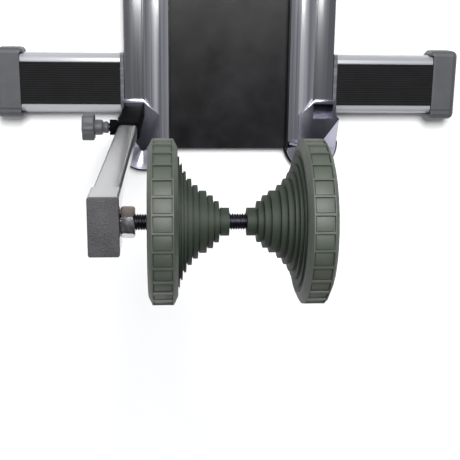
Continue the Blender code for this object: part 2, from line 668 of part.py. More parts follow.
def make_head():
    """The box welded on the post: open above, with a hole in its right wall for the rod."""
    height = HEAD_TOP_Z - HEAD_BOTTOM_Z
    mesh = box_mesh(HEAD_WIDTH, HEAD_DEPTH, height)
    head = place(mesh, "post_head", POST_PAINT, (POST_X, ROD_Y, HEAD_BOTTOM_Z + height / 2))
    round_edges(head, HEAD_EDGE, 2)
    pocket = box_mesh(HEAD_WIDTH - 2 * HEAD_WALL, HEAD_DEPTH - 2 * HEAD_WALL, 2 * height)
    pocket_z = HEAD_BOTTOM_Z + HEAD_WALL + height
    combine(head, place_cutter(pocket, "head_pocket", (POST_X, ROD_Y, pocket_z)), "DIFFERENCE")
    rod_hole = cylinder_mesh(BORE_RADIUS, 4 * HEAD_WALL)
    rod_cutter = place_cutter(rod_hole, "head_rod_hole", (HEAD_RIGHT_X, ROD_Y, ROD_Z), TURNED_TO_RIGHT)
    combine(head, rod_cutter, "DIFFERENCE")


def make_head_cap():
    """The textured plastic lid of the head, with a spigot in the box."""
    lid_z = HEAD_TOP_Z + FIT + HEAD_CAP_THICKNESS / 2
    mesh = box_mesh(HEAD_WIDTH, HEAD_DEPTH, HEAD_CAP_THICKNESS)
    cap = place(mesh, "head_cap", CAP_PLASTIC, (POST_X, ROD_Y, lid_z))
    round_edges(cap, HEAD_CAP_THICKNESS / 3, 2)
    bore_width = HEAD_WIDTH - 2 * HEAD_WALL - 2 * FIT
    bore_depth = HEAD_DEPTH - 2 * HEAD_WALL - 2 * FIT
    spigot_height = HEAD_CAP_SPIGOT + FIT + HEAD_CAP_THICKNESS / 2
    spigot = box_mesh(bore_width, bore_depth, spigot_height)
    combine(cap, place_cutter(spigot, "head_spigot", (POST_X, ROD_Y, lid_z - spigot_height / 2)), "UNION")


def make_rod():
    """The threaded rod, plain here, from inside the head to the end cap."""
    length = ROD_END_X - ROD_START_X
    centre = (ROD_START_X + length / 2, ROD_Y, ROD_Z)
    rod = place(cylinder_mesh(ROD_RADIUS, length), "threaded_rod", BLACK_OXIDE, centre, TURNED_TO_RIGHT)
    round_edges(rod, ROD_RADIUS / 8, 1, 60)


def make_nut(name, centre_x, material):
    """A hexagon nut on the rod, with two of its flats level."""
    corner_radius = NUT_FLATS / 2 / math.cos(math.pi / 6)
    nut = place(cylinder_mesh(corner_radius, NUT_THICKNESS, 6), name, material, (centre_x, ROD_Y, ROD_Z),
                TURNED_TO_RIGHT)
    bore = cylinder_mesh(BORE_RADIUS, 2 * NUT_THICKNESS)
    cutter = place_cutter(bore, name + "_bore", (centre_x, ROD_Y, ROD_Z), TURNED_TO_RIGHT)
    combine(nut, cutter, "DIFFERENCE")


def make_rod_cap():
    """The domed cap on the rod's free end, which stops the right cone."""
    dome_height = ROD_CAP_THICKNESS - ROD_CAP_EDGE
    profile = []
    for i in range(ARC_STEPS + 1):
        angle = math.pi / 2 * i / ARC_STEPS
        profile.append((ROD_CAP_RADIUS * math.sin(angle), ROD_CAP_EDGE + dome_height * math.cos(angle)))
    profile += [
        (ROD_CAP_RADIUS, 0.0),
        (BORE_RADIUS, 0.0),
        (BORE_RADIUS, ROD_CAP_COVER + FIT),
        (0.0, ROD_CAP_COVER + FIT),
    ]
    location = (ROD_CAP_X, ROD_Y, ROD_Z)
    cap = place(profile_mesh(profile), "rod_cap", BLACK_PLASTIC, location, TURNED_TO_RIGHT)
    turn_profile(cap, ROD_FACETS)


def cone_outer_profile():
    """The stepped side of a cone, from its outer face down to its tip."""
    rim_edge = CONE_RADIUS - CONE_RIM_DROP
    profile = [
        (rim_edge, 0.0),
        (CONE_RADIUS, -CONE_RIM_CHAMFER),
        (CONE_RADIUS, CONE_RIM_CHAMFER - CONE_RIM_WIDTH),
        (rim_edge, -CONE_RIM_WIDTH),
    ]
    depth = -CONE_RIM_WIDTH
    for radius, length in CONE_STEPS:
        profile.append((radius, depth))
        depth -= length
        profile.append((radius, depth))
    return profile


def cone_hollow_profile():
    """The inside of a cone's shell, from the rim to the hub."""
    rim_radius = CONE_RADIUS - CONE_RIM_WALL
    profile = [(rim_radius, 0.0), (rim_radius, CONE_WALL - CONE_RIM_WIDTH)]
    depth = -CONE_RIM_WIDTH
    for radius, length in CONE_STEPS:
        if radius - CONE_WALL > HUB_RADIUS + CONE_WALL:
            profile.append((radius - CONE_WALL, depth + CONE_WALL))
            floor = depth + CONE_WALL
        depth -= length
    profile.append((HUB_RADIUS, floor))
    return profile


def ribs_mesh():
    """The ribs of a cone's hollow, from inside the hub's wall to inside the shell's."""
    hollow = cone_hollow_profile()
    inner = (HUB_RADIUS + INSERT_RADIUS) / 2
    outer = hollow[0][0] + CONE_RIM_WALL / 2
    points = [(inner, -RIB_INSET), (outer, -RIB_INSET), (outer, hollow[1][1] - CONE_WALL / 2)]
    points += [(radius, height - CONE_WALL / 2) for radius, height in hollow[2:-1]]
    points.append((inner, hollow[-1][1] - CONE_WALL / 2))
    rib = plate_mesh([points], RIB_THICKNESS)
    rib.transform(Matrix.Rotation(math.pi / 2, 4, "X"))
    bm = bmesh.new()
    for i in range(CONE_RIBS):
        bm.from_mesh(rib)
        rib.transform(Matrix.Rotation(2 * math.pi / CONE_RIBS, 4, "Z"))
    mesh = bpy.data.meshes.new("ribs")
    bm.to_mesh(mesh)
    bm.free()
    return mesh


def pad_cutter_mesh():
    """Thirty shallow blocks round a cone's rim, one for each pad."""
    inner = (CONE_RADIUS - PAD_DEPTH) * math.cos(math.pi / CONE_PADS)
    facet = 2 * CONE_RADIUS * math.sin(math.pi / CONE_PADS)
    thickness = 4 * PAD_DEPTH
    length = CONE_RIM_WIDTH - 2 * CONE_RIM_CHAMFER - 2 * PAD_END
    bm = bmesh.new()
    for i in range(CONE_PADS):
        made = bmesh.ops.create_cube(bm, size=1.0)["verts"]
        bmesh.ops.scale(bm, vec=(thickness, facet - PAD_RIB, length), verts=made)
        bmesh.ops.translate(bm, vec=(inner + thickness / 2, 0.0, -CONE_RIM_WIDTH / 2), verts=made)
        turn = Matrix.Rotation(2 * math.pi * (i + 0.5) / CONE_PADS, 3, "Z")
        bmesh.ops.rotate(bm, cent=(0, 0, 0), matrix=turn, verts=made)
    mesh = bpy.data.meshes.new("pads")
    bm.to_mesh(mesh)
    bm.free()
    return mesh


def make_cone(label, face_x, rotation):
    """A stepped cone: a ribbed shell with a padded rim, and a hub that holds the threaded insert."""
    location = (face_x, ROD_Y, ROD_Z)
    profile = cone_outer_profile()
    profile += [
        (BORE_RADIUS, -CONE_LENGTH),
        (BORE_RADIUS, -INSERT_LENGTH - FIT),
        (INSERT_RADIUS + FIT, -INSERT_LENGTH - FIT),
        (INSERT_RADIUS + FIT, 0.0),
        (HUB_RADIUS, 0.0),
    ]
    profile += reversed(cone_hollow_profile())
    cone = place(profile_mesh(profile, True), "cone_" + label, GREEN_PLASTIC, location, rotation)
    turn_profile(cone, CONE_FACETS)
    combine(cone, place_cutter(ribs_mesh(), "cone_ribs_" + label, location, rotation), "UNION")
    combine(cone, place_cutter(pad_cutter_mesh(), "cone_pads_" + label, location, rotation), "DIFFERENCE")


def make_insert(label, face_x, rotation):
    """The round threaded insert in a cone's hub."""
    profile = [
        (INSERT_RADIUS, 0.0),
        (INSERT_RADIUS, -INSERT_LENGTH),
        (BORE_RADIUS, -INSERT_LENGTH),
        (BORE_RADIUS, 0.0),
    ]
    insert = place(profile_mesh(profile, True), "insert_" + label, BRASS, (face_x, ROD_Y, ROD_Z), rotation)
    turn_profile(insert, ROD_FACETS)


def build_stand():
    """Makes every piece, from the floor up."""
    for label, side in SIDES:
        make_rail(label, side)
        make_foot(label, side)
        make_foot_pad(label, side)
        make_wing(label, side)
        make_wing_flange(label, side)
        make_mat(label, side)
        make_wing_cap(label, side)
        make_front_cap(label, side)
    make_cross_bar("cross_bar_rear", REAR_Y + TRAY_REAR_INSET + CROSS_BAR_INSET)
    make_cross_bar("cross_bar_front", RAIL_FRONT_Y - CROSS_BAR_INSET)
    make_tray()
    make_front_beam()
    make_sleeve()
    make_bush()
    make_boss()
    make_clamp_pad()
    make_stud()
    make_knob()
    make_post_tube()
    make_post_plug()
    make_head()
    make_head_cap()
    make_rod()
    make_nut("lock_nut", HEAD_RIGHT_X + FIT + NUT_THICKNESS / 2, BRIGHT_ZINC)
    make_nut("inner_nut", HEAD_RIGHT_X - HEAD_WALL - FIT - NUT_THICKNESS / 2, BRIGHT_ZINC)
    make_rod_cap()
    make_cone("left", CONE_LEFT_X, TURNED_TO_LEFT)
    make_cone("right", CONE_RIGHT_X, TURNED_TO_RIGHT)
    make_insert("left", CONE_LEFT_X, TURNED_TO_LEFT)
    make_insert("right", CONE_RIGHT_X, TURNED_TO_RIGHT)


build_stand()
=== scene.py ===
import math

import bpy
from mathutils import Matrix, Vector


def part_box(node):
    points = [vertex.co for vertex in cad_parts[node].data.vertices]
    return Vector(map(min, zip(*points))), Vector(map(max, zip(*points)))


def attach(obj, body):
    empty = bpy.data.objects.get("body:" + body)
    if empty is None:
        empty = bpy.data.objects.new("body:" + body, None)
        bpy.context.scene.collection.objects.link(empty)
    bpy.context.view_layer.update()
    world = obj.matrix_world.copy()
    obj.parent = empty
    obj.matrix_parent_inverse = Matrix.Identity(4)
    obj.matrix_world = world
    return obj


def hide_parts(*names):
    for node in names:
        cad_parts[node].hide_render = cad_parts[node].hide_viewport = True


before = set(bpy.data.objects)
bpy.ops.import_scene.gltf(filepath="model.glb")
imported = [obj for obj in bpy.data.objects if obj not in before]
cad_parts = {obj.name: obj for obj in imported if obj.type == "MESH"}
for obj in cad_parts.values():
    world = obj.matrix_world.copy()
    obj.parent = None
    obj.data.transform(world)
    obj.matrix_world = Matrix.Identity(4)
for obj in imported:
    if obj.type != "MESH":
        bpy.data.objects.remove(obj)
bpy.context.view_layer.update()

# The camera looks down on the stand from a metre up, a little forward of the post, as the photograph does.
# Its lens is a plain one without shift, so the small lean of the view comes from its tilt alone.
CAMERA_PLACE = (-0.0696, 0.0003, 1.0271)
CAMERA_TURN = (-0.25097, -0.06929, 0.01203)
CAMERA_LENS = 68.14
CAMERA_SENSOR = 36.0
CAMERA_NEAR = 0.01
bpy.ops.object.select_all(action="DESELECT")
bpy.ops.object.camera_add(location=CAMERA_PLACE, rotation=CAMERA_TURN)
camera = bpy.context.object
camera.data.lens = CAMERA_LENS
camera.data.sensor_width = CAMERA_SENSOR
camera.data.clip_start = CAMERA_NEAR
bpy.context.scene.camera = camera
bpy.context.scene.view_settings.view_transform = "Standard"

# The floor is a sheet of pale paper that lies under the stand and runs out of the picture on all sides.
# It is matt, and its faint tooth keeps it from being one flat colour.
FLOOR_SIZE = 60.0
FLOOR_DROP = 0.0002
PAPER_TOOTH = 900.0


def linear(hex_colour):
    """Turns an sRGB hex colour into the linear values that a shader takes."""
    values = [int(hex_colour[i:i + 2], 16) / 255 for i in (1, 3, 5)]
    return tuple(v / 12.92 if v <= 0.04045 else ((v + 0.055) / 1.055) ** 2.4 for v in values) + (1.0,)


def add_node(tree, kind, sockets=(), links=(), **settings):
    """Adds one shader node, with its settings, its socket values and the links that come into it."""
    node = tree.nodes.new(kind)
    for name, value in settings.items():
        setattr(node, name, value)
    for socket, value in sockets:
        node.inputs[socket].default_value = value
    for socket, source in links:
        tree.links.new(source, node.inputs[socket])
    return node


def new_material(name, roughness, metallic=0.0, ior=None):
    """Starts a material, and gives its node tree, its shader and its Object coordinates."""
    material = bpy.data.materials.new(name)
    material.use_nodes = True
    tree = material.node_tree
    shader = tree.nodes["Principled BSDF"]
    shader.inputs["Roughness"].default_value = roughness
    shader.inputs["Metallic"].default_value = metallic
    if ior:
        shader.inputs["IOR"].default_value = ior
    place = add_node(tree, "ShaderNodeTexCoord").outputs["Object"]
    return material, tree, shader, place


def noise(tree, place, scale, detail):
    """Soft noise from zero to one, with so many waves per metre."""
    node = add_node(tree, "ShaderNodeTexNoise", [("Scale", scale), ("Detail", detail)], [("Vector", place)])
    return node.outputs["Fac"]


def two_tones(tree, shader, amount, dark, light, low=0.0, high=1.0):
    """Colours the shader from dark to light as an amount runs from low to high, and gives that colour."""
    tone = add_node(tree, "ShaderNodeValToRGB", links=[("Fac", amount)])
    for stop, position, colour in zip(tone.color_ramp.elements, (low, high), (dark, light)):
        stop.position = position
        stop.color = linear(colour)
    tree.links.new(tone.outputs["Color"], shader.inputs["Base Color"])
    return tone.outputs["Color"]


paper, tree, shader, place = new_material("pale_matt_paper", 0.85)
two_tones(tree, shader, noise(tree, place, PAPER_TOOTH, 4.0), "#f4f4f4", "#fbfbfb")
bpy.ops.object.select_all(action="DESELECT")
bpy.ops.mesh.primitive_plane_add(size=FLOOR_SIZE, location=(0.0, 0.0, -FLOOR_DROP))
floor = bpy.context.object
floor.name = "paper_floor"
floor.data.materials.append(paper)

# The light of a photo studio: a room that is bright in front and to the left, and dark overhead and behind.
# One large soft box hangs above the front of the stand, and a wide, weak one stands behind the stand.
# Two narrow ones, low behind the post and at the left, glint on glossy parts.
ROOM_TONES = ((0.0, "#ffffff"), (0.25, "#f6f8fc"), (0.55, "#a2a4aa"), (1.0, "#303135"))
ROOM_BEHIND = 0.15
ROOM_RIGHT = 0.75
ROOM_STRENGTH = 1.15
SOFT_BOXES = (
    ("key_soft_box", (0.05, 0.70, 1.90), 0.8, 0.8, 54.0),
    ("rear_strip", (-0.36, -1.45, 0.16), 0.22, 0.30, 2.6),
    ("rear_wall", (0.0, -1.90, 0.60), 2.4, 0.8, 4.0),
    ("left_strip", (-1.60, 0.10, 0.90), 0.4, 0.9, 5.0),
)
SOFT_BOX_AIM = Vector((-0.03, -0.10, 0.35))
world = bpy.data.worlds.new("studio")
world.use_nodes = True
room = world.node_tree
sky = add_node(room, "ShaderNodeTexCoord").outputs["Generated"]
towards = add_node(room, "ShaderNodeSeparateXYZ", links=[("Vector", sky)])
tones = add_node(room, "ShaderNodeValToRGB", links=[("Fac", towards.outputs["Z"])])
tones.color_ramp.elements.remove(tones.color_ramp.elements[1])
for position, colour in ROOM_TONES:
    stop = tones.color_ramp.elements.new(position) if position else tones.color_ramp.elements[0]
    stop.color = linear(colour)
forward = add_node(room, "ShaderNodeMapRange", [("From Min", -1.0), ("To Min", ROOM_BEHIND), ("To Max", 1.0)],
                   [("Value", towards.outputs["Y"])])
leftward = add_node(room, "ShaderNodeMapRange", [("From Min", -1.0), ("To Min", 1.0), ("To Max", ROOM_RIGHT)],
                    [("Value", towards.outputs["X"])])
level = add_node(room, "ShaderNodeMath", links=[(0, forward.outputs[0]), (1, leftward.outputs[0])],
                 operation="MULTIPLY")
strength = add_node(room, "ShaderNodeVectorMath", links=[(0, tones.outputs["Color"]), (1, level.outputs[0])],
                    operation="MULTIPLY")
room.links.new(strength.outputs[0], room.nodes["Background"].inputs["Color"])
room.nodes["Background"].inputs["Strength"].default_value = ROOM_STRENGTH
bpy.context.scene.world = world
for name, location, width, height, watts in SOFT_BOXES:
    bpy.ops.object.light_add(type="AREA", location=location)
    lamp = bpy.context.object
    lamp.name = name
    lamp.data.shape = "RECTANGLE"
    lamp.data.size = width
    lamp.data.size_y = height
    lamp.data.energy = watts
    lamp.rotation_euler = (SOFT_BOX_AIM - lamp.location).to_track_quat("-Z", "Y").to_euler()

# The base rails, wings and front beam are drawn steel section under a grey gloss coat.
# Drawing leaves fine lines that run with the section and show as streaks a few millimetres wide in the gloss.
# A rail's top has a groove along it, and from there inwards a low crown with a painted highlight along its
# crest.
STREAK_WIDTH = 0.004
STREAKS_ALONG = 1.5
PAINT_PEEL = 400.0
PAINT_PEEL_STRENGTH = 0.06
PEEL_HEIGHT = 0.0004
RAIL_GROOVE_X = 0.0975
RAIL_GROOVE_WIDTH = 0.0022
RAIL_GROOVE_DEPTH = 0.0008
RAIL_CROWN_X = 0.0835
RAIL_CROWN_REACH = 0.0145
RAIL_CROWN_HEIGHT = 0.0020
RAIL_CROWN_STEPS = 16
RAIL_CREST_HIGHLIGHT_WIDTH = 0.0045
RAIL_CREST_HIGHLIGHT_SHARE = 0.38
RAIL_OUTER_BLEND = 0.002
RAIL_OUTER_SHARE = 0.85
RAIL_CORNER = 0.0015
RAIL_CORNER_CUT = 0.3
RAIL_EDGE = 0.0003
RAIL_SMOOTH = 25


def vary_roughness(tree, shader, amount, smoothest, roughest):
    """Makes the roughness follow an amount that runs from zero to one."""
    rough = add_node(tree, "ShaderNodeMapRange", [("To Min", smoothest), ("To Max", roughest)],
                     [("Value", amount)])
    tree.links.new(rough.outputs[0], shader.inputs["Roughness"])


def add_bump(tree, shader, amount, strength, distance):
    """Gives the surface a fine relief."""
    bump = add_node(tree, "ShaderNodeBump", [("Strength", strength), ("Distance", distance)],
                    [("Height", amount)])
    tree.links.new(bump.outputs["Normal"], shader.inputs["Normal"])


def coordinate(tree, place, axis):
    """One coordinate of a place."""
    return add_node(tree, "ShaderNodeSeparateXYZ", links=[("Vector", place)]).outputs[axis]


def fade(tree, amount, start, end, first, last):
    """A soft step from the first value to the last, while an amount runs from its start to its end."""
    step = add_node(tree, "ShaderNodeMapRange",
                    [("From Min", start), ("From Max", end), ("To Min", first), ("To Max", last)],
                    [("Value", amount)], interpolation_type="SMOOTHSTEP")
    return step.outputs[0]


def tint(tree, shader, share, below, colour):
    """Lays a share of a colour over the one below, gives it to the shader, and returns it."""
    mix = add_node(tree, "ShaderNodeMix", [("B", linear(colour))], [("Factor", share), ("A", below)],
                   data_type="RGBA")
    tree.links.new(mix.outputs["Result"], shader.inputs["Base Color"])
    return mix.outputs["Result"]


def streaked_paint(name, dark, light, roughness, along, outer_colour=None):
    """Gloss paint on drawn section; an outer colour adds a painted highlight along a rail's crest and its
    dark outer half.
    """
    material, tree, shader, place = new_material(name, roughness)
    stretch = [1 / STREAK_WIDTH] * 3
    stretch[along] = STREAKS_ALONG
    drawn = add_node(tree, "ShaderNodeMapping", [("Scale", stretch)], [("Vector", place)])
    streaks = noise(tree, drawn.outputs[0], 1.0, 4.0)
    paint = two_tones(tree, shader, streaks, dark, light, 0.36, 0.66)
    vary_roughness(tree, shader, streaks, roughness * 0.8, roughness * 1.4)
    add_bump(tree, shader, noise(tree, place, PAINT_PEEL, 2.0), PAINT_PEEL_STRENGTH, PEEL_HEIGHT)
    shader.inputs["Coat Weight"].default_value = 0.5
    shader.inputs["Coat Roughness"].default_value = 0.12
    if outer_colour:
        sideways = coordinate(tree, place, "X")
        across = add_node(tree, "ShaderNodeMath", links=[(0, sideways)], operation="ABSOLUTE").outputs[0]
        off = add_node(tree, "ShaderNodeMath", [(1, RAIL_CROWN_X)], [(0, across)], operation="SUBTRACT")
        from_crest = add_node(tree, "ShaderNodeMath", links=[(0, off.outputs[0])], operation="ABSOLUTE")
        # The pale band along the crown's crest is a painted highlight.
        painted_crest_highlight = fade(tree, from_crest.outputs[0], 0.0, RAIL_CREST_HIGHLIGHT_WIDTH, RAIL_CREST_HIGHLIGHT_SHARE, 0.0)
        outer = fade(tree, across, RAIL_GROOVE_X - RAIL_OUTER_BLEND, RAIL_GROOVE_X, 0.0, RAIL_OUTER_SHARE)
        paint_with_crest_highlight = tint(tree, shader, painted_crest_highlight, paint, "#b9babf")
        tint(tree, shader, outer, paint_with_crest_highlight, outer_colour)
    return material


def dress(node, material):
    """Gives a CAD node its finish in place of the plain one that it was packed with."""
    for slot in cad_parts[node].material_slots:
        slot.material = material


def extruded(corners, *steps):
    """A closed solid: a face with these corners, extruded by one step after the other."""
    bpy.ops.object.select_all(action="DESELECT")
    bpy.ops.mesh.primitive_circle_add(vertices=len(corners), radius=0.01, fill_type="NGON",
                                      location=(0.0, 0.0, 0.0))
    solid = bpy.context.object
    for vertex, corner in zip(solid.data.vertices, corners):
        vertex.co = corner
    bpy.ops.object.mode_set(mode="EDIT")
    bpy.ops.mesh.select_all(action="SELECT")
    for step in steps:
        bpy.ops.mesh.extrude_region_move(TRANSFORM_OT_translate={"value": step})
    bpy.ops.mesh.select_all(action="SELECT")
    bpy.ops.mesh.normals_make_consistent(inside=False)
    bpy.ops.object.mode_set(mode="OBJECT")
    return solid


def use_modifier(piece, kind, **settings):
    """Adds a modifier with its settings and applies it."""
    bpy.ops.object.select_all(action="DESELECT")
    piece.select_set(True)
    bpy.context.view_layer.objects.active = piece
    modifier = piece.modifiers.new(kind.lower(), kind)
    for name, value in settings.items():
        setattr(modifier, name, value)
    bpy.ops.object.modifier_apply(modifier=modifier.name)


def bevel(piece, width, segments, degrees):
    """Rounds the edges of a piece that turn by more than so many degrees."""
    use_modifier(piece, "BEVEL", width=width, segments=segments, limit_method="ANGLE",
                 angle_limit=math.radians(degrees))


def smooth(degrees):
    """Shades the active piece smooth, apart from edges that turn by more than so many degrees."""
    bpy.ops.object.shade_smooth_by_angle(angle=math.radians(degrees))


def settle(piece, name, material, body):
    """Puts a finished piece's place into its mesh, names it, and fixes it to the body that carries it."""
    bpy.ops.object.select_all(action="DESELECT")
    piece.select_set(True)
    bpy.context.view_layer.objects.active = piece
    bpy.ops.object.transform_apply(location=True, rotation=True, scale=True)
    piece.name = name
    piece.data.materials.clear()
    piece.data.materials.append(material)
    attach(piece, body)
    return piece


rail_paint = streaked_paint("grey_gloss_rail_paint", "#4e4f54", "#76777d", 0.24, 1, "#3c3d41")
beam_paint = streaked_paint("grey_gloss_beam_paint", "#54555a", "#6f7075", 0.30, 0)
wing_paint = streaked_paint("silver_gloss_wing_paint", "#8d8e93", "#a4a5aa", 0.28, 0)
for node in ("front_beam", "wing_flange_left", "wing_flange_right"):
    dress(node, beam_paint)
for node in ("wing_left", "wing_right"):
    dress(node, wing_paint)
rails = {}
for side, sign in (("left", -1), ("right", 1)):
    low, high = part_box("rail_" + side)
    inner, outer = sorted((abs(low.x), abs(high.x)))
    corner_cut = RAIL_CORNER * RAIL_CORNER_CUT
    outline = [
        (outer, low.z),
        (outer, high.z - RAIL_CORNER),
        (outer - corner_cut, high.z - corner_cut),
        (outer - RAIL_CORNER, high.z),
        (RAIL_GROOVE_X + RAIL_GROOVE_WIDTH / 2, high.z),
        (RAIL_GROOVE_X + RAIL_GROOVE_WIDTH / 4, high.z - RAIL_GROOVE_DEPTH),
        (RAIL_GROOVE_X - RAIL_GROOVE_WIDTH / 4, high.z - RAIL_GROOVE_DEPTH),
    ]
    start = RAIL_GROOVE_X - RAIL_GROOVE_WIDTH / 2
    for i in range(RAIL_CROWN_STEPS + 1):
        x = start + (inner - start) * i / RAIL_CROWN_STEPS
        drop = RAIL_CROWN_HEIGHT * min(1.0, abs((x - RAIL_CROWN_X) / RAIL_CROWN_REACH)) ** 2
        outline.append((x, high.z - drop))
    outline.append((inner, low.z))
    rail = extruded([(sign * x, low.y, z) for x, z in outline], (0.0, high.y - low.y, 0.0))
    bevel(rail, RAIL_EDGE, 2, 30)
    smooth(RAIL_SMOOTH)
    rails[side] = settle(rail, "rail_%s_drawn" % side, rail_paint, "base")
    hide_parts("rail_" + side)

# Sleeve, boss, channel and cross bars are steel under a black powder coat, and the sleeve's bush matches it.
# Baked powder flows out with a slight orange peel, a millimetre or so from crest to crest.
COAT_CLOUD = 35.0
COAT_PEEL = 650.0


def powder_coat(name, dark, light, roughness, peel_depth, metallic=0.0, spread=0.3):
    """A baked or sprayed coat, with an orange peel of about a millimetre and cloudy changes of its gloss."""
    material, tree, shader, place = new_material(name, roughness, metallic, ior=1.5)
    cloud = noise(tree, place, COAT_CLOUD, 6.0)
    two_tones(tree, shader, cloud, dark, light, 0.3, 0.7)
    vary_roughness(tree, shader, cloud, roughness * (1 - spread), roughness * (1 + spread))
    add_bump(tree, shader, noise(tree, place, COAT_PEEL, 2.0), peel_depth, PEEL_HEIGHT)
    return material


def socket_of(material, name):
    """The socket with this name on a material's shader."""
    return material.node_tree.nodes["Principled BSDF"].inputs[name]


black_coat = powder_coat("black_powder_coat", "#0a0a0c", "#141417", 0.32, 0.12)
socket_of(black_coat, "Specular IOR Level").default_value = 0.3
for node in ("cross_bar_rear", "cross_bar_front", "wheel_tray"):
    dress(node, black_coat)
sleeve_coat = powder_coat("black_satin_sleeve_coat", "#060607", "#0c0d0e", 0.60, 0.10)
socket_of(sleeve_coat, "Specular IOR Level").default_value = 0.005
for node in ("clamp_boss", "post_sleeve", "sleeve_bush"):
    dress(node, sleeve_coat)

# A rear foot is a casting that wraps the rail's end: flat round the socket, and falling away to a round heel.
# It is ground and sprayed in graphite gloss, and its lowest centimetre is painted near black as painted
# shade.
# The rail's end is mitred to fit against it, and only the rail's inner strip runs on into the notch.
HEEL_CENTRE = (0.0985, -0.1555)
HEEL_RADIUS = 0.0295
HEEL_CROWN = 0.14
HEEL_WALL = 0.0085
HEEL_STEPS = 32
SHADE_ABOVE_WALL = 0.001
SHADE_BLEND = 0.002
SOCKET_PLACE = (0.1078, -0.114)
SOCKET_SIZE = (0.0226, 0.0166, 0.024)
FOOT_FRONT = ((0.1272, -0.1227), (0.1230, -0.1185), (0.1230, -0.1010), (0.0980, -0.1010), (0.0800, -0.1190),
              (0.0800, -0.1500), (0.0698, -0.1500))
FOOT_EDGE = 0.0010
FOOT_SMOOTH = 28
SAW_END = -0.1900
SAW_REACH = 0.0600
LEVEL_TOLERANCE = 0.0001


def combine(piece, tool, operation):
    """Cuts a tool out of a piece, or keeps what they share, and removes the tool."""
    use_modifier(piece, "BOOLEAN", operation=operation, solver="EXACT", object=tool)
    bpy.data.objects.remove(tool)


def make_box(centre, size):
    """A box with its sides along the axes."""
    bpy.ops.object.select_all(action="DESELECT")
    bpy.ops.mesh.primitive_cube_add(size=1.0, location=centre)
    box = bpy.context.object
    box.scale = size
    bpy.ops.object.transform_apply(location=True, rotation=True, scale=True)
    return box


graphite = powder_coat("graphite_casting_gloss", "#9c9cac", "#acacba", 0.20, 0.03, metallic=1.0)
tree = graphite.node_tree
height_of_point = coordinate(tree, tree.nodes["Texture Coordinate"].outputs["Object"], "Z")
# Up to just above the heel's wall the colour fades to near black: painted shade along the foot's lowest edge.
shade_top = HEEL_WALL + SHADE_ABOVE_WALL
painted_shade_band = fade(tree, height_of_point, shade_top, shade_top + SHADE_BLEND, 1.0, 0.0)
shader = tree.nodes["Principled BSDF"]
tint(tree, shader, painted_shade_band, shader.inputs["Base Color"].links[0].from_socket, "#141416")
for side, sign in (("left", -1), ("right", 1)):
    low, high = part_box("rear_foot_" + side)
    mitre = FOOT_FRONT + ((FOOT_FRONT[-1][0], SAW_END), (FOOT_FRONT[0][0], SAW_END))
    saw = extruded([(sign * x, y, high.z - SAW_REACH) for x, y in mitre], (0.0, 0.0, 2 * SAW_REACH))
    combine(rails[side], saw, "DIFFERENCE")
    smooth(RAIL_SMOOTH)
    outline = [(x, y, x, y) for x, y in FOOT_FRONT]
    for i in range(HEEL_STEPS + 1):
        angle = math.radians(180 + 180 * i / HEEL_STEPS)
        ring = []
        for radius in (HEEL_RADIUS, HEEL_RADIUS * HEEL_CROWN):
            ring += [HEEL_CENTRE[0] + radius * math.cos(angle), HEEL_CENTRE[1] + radius * math.sin(angle)]
        outline.append(ring)
    foot = extruded([(sign * point[0], point[1], low.z) for point in outline],
                    (0.0, 0.0, HEEL_WALL), (0.0, 0.0, high.z - low.z - HEEL_WALL))
    for vertex in foot.data.vertices:
        near = min(outline, key=lambda p: abs(sign * p[0] - vertex.co.x) + abs(p[1] - vertex.co.y))
        if vertex.co.z > high.z - LEVEL_TOLERANCE:
            vertex.co = (sign * near[2], near[3], high.z)
    bevel(foot, FOOT_EDGE, 3, FOOT_SMOOTH)
    pocket = make_box((sign * SOCKET_PLACE[0], SOCKET_PLACE[1], high.z),
                      (SOCKET_SIZE[0], SOCKET_SIZE[1], 2 * SOCKET_SIZE[2]))
    combine(foot, pocket, "DIFFERENCE")
    smooth(FOOT_SMOOTH)
    settle(foot, "rear_foot_%s_cast" % side, graphite, "base")
    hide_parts("rear_foot_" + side)

# The inner tube and the head are drawn steel tube under black gloss paint with a hard clear coat.
# Seen along its faces the clear coat mirrors the pale room, so the front face looks nearly white from above.
TUBE_CORNER = 0.0024
TUBE_WALL = 0.0015
TUBE_CORNER_STEPS = 8
post_gloss = powder_coat("black_post_gloss", "#1c1d20", "#242528", 0.24, 0.02, spread=0.06)
socket_of(post_gloss, "Coat Weight").default_value = 1.0
socket_of(post_gloss, "Coat Roughness").default_value = 0.24
socket_of(post_gloss, "Coat IOR").default_value = 1.9
dress("post_head", post_gloss)
low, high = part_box("post_tube")
middle = (low + high) / 2
bpy.ops.object.select_all(action="DESELECT")
bpy.ops.mesh.primitive_plane_add(size=1.0, location=(middle.x, middle.y, low.z))
tube = bpy.context.object
tube.scale = (high.x - low.x, high.y - low.y, 1.0)
bpy.ops.object.transform_apply(location=True, rotation=True, scale=True)
bpy.ops.object.mode_set(mode="EDIT")
bpy.ops.mesh.select_all(action="SELECT")
bpy.ops.mesh.bevel(offset=TUBE_CORNER, segments=TUBE_CORNER_STEPS, affect="VERTICES")
bpy.ops.mesh.select_all(action="SELECT")
bpy.ops.mesh.inset(thickness=TUBE_WALL, use_boundary=True)
bpy.ops.mesh.delete(type="FACE")
bpy.ops.mesh.select_all(action="SELECT")
bpy.ops.mesh.extrude_region_move(TRANSFORM_OT_translate={"value": (0.0, 0.0, high.z - low.z)})
bpy.ops.mesh.select_all(action="SELECT")
bpy.ops.mesh.normals_make_consistent(inside=False)
bpy.ops.object.mode_set(mode="OBJECT")
smooth(30)
settle(tube, "post_tube_drawn", post_gloss, "post")
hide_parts("post_tube")

# Knob, plugs and end caps are moulded black plastic.
# The mould was spark eroded, which leaves a matt grain of about a third of a millimetre.
FLOW_CLOUD = 60.0
GRAIN_SHARE = 0.6
GRAIN_HEIGHT = 0.0003


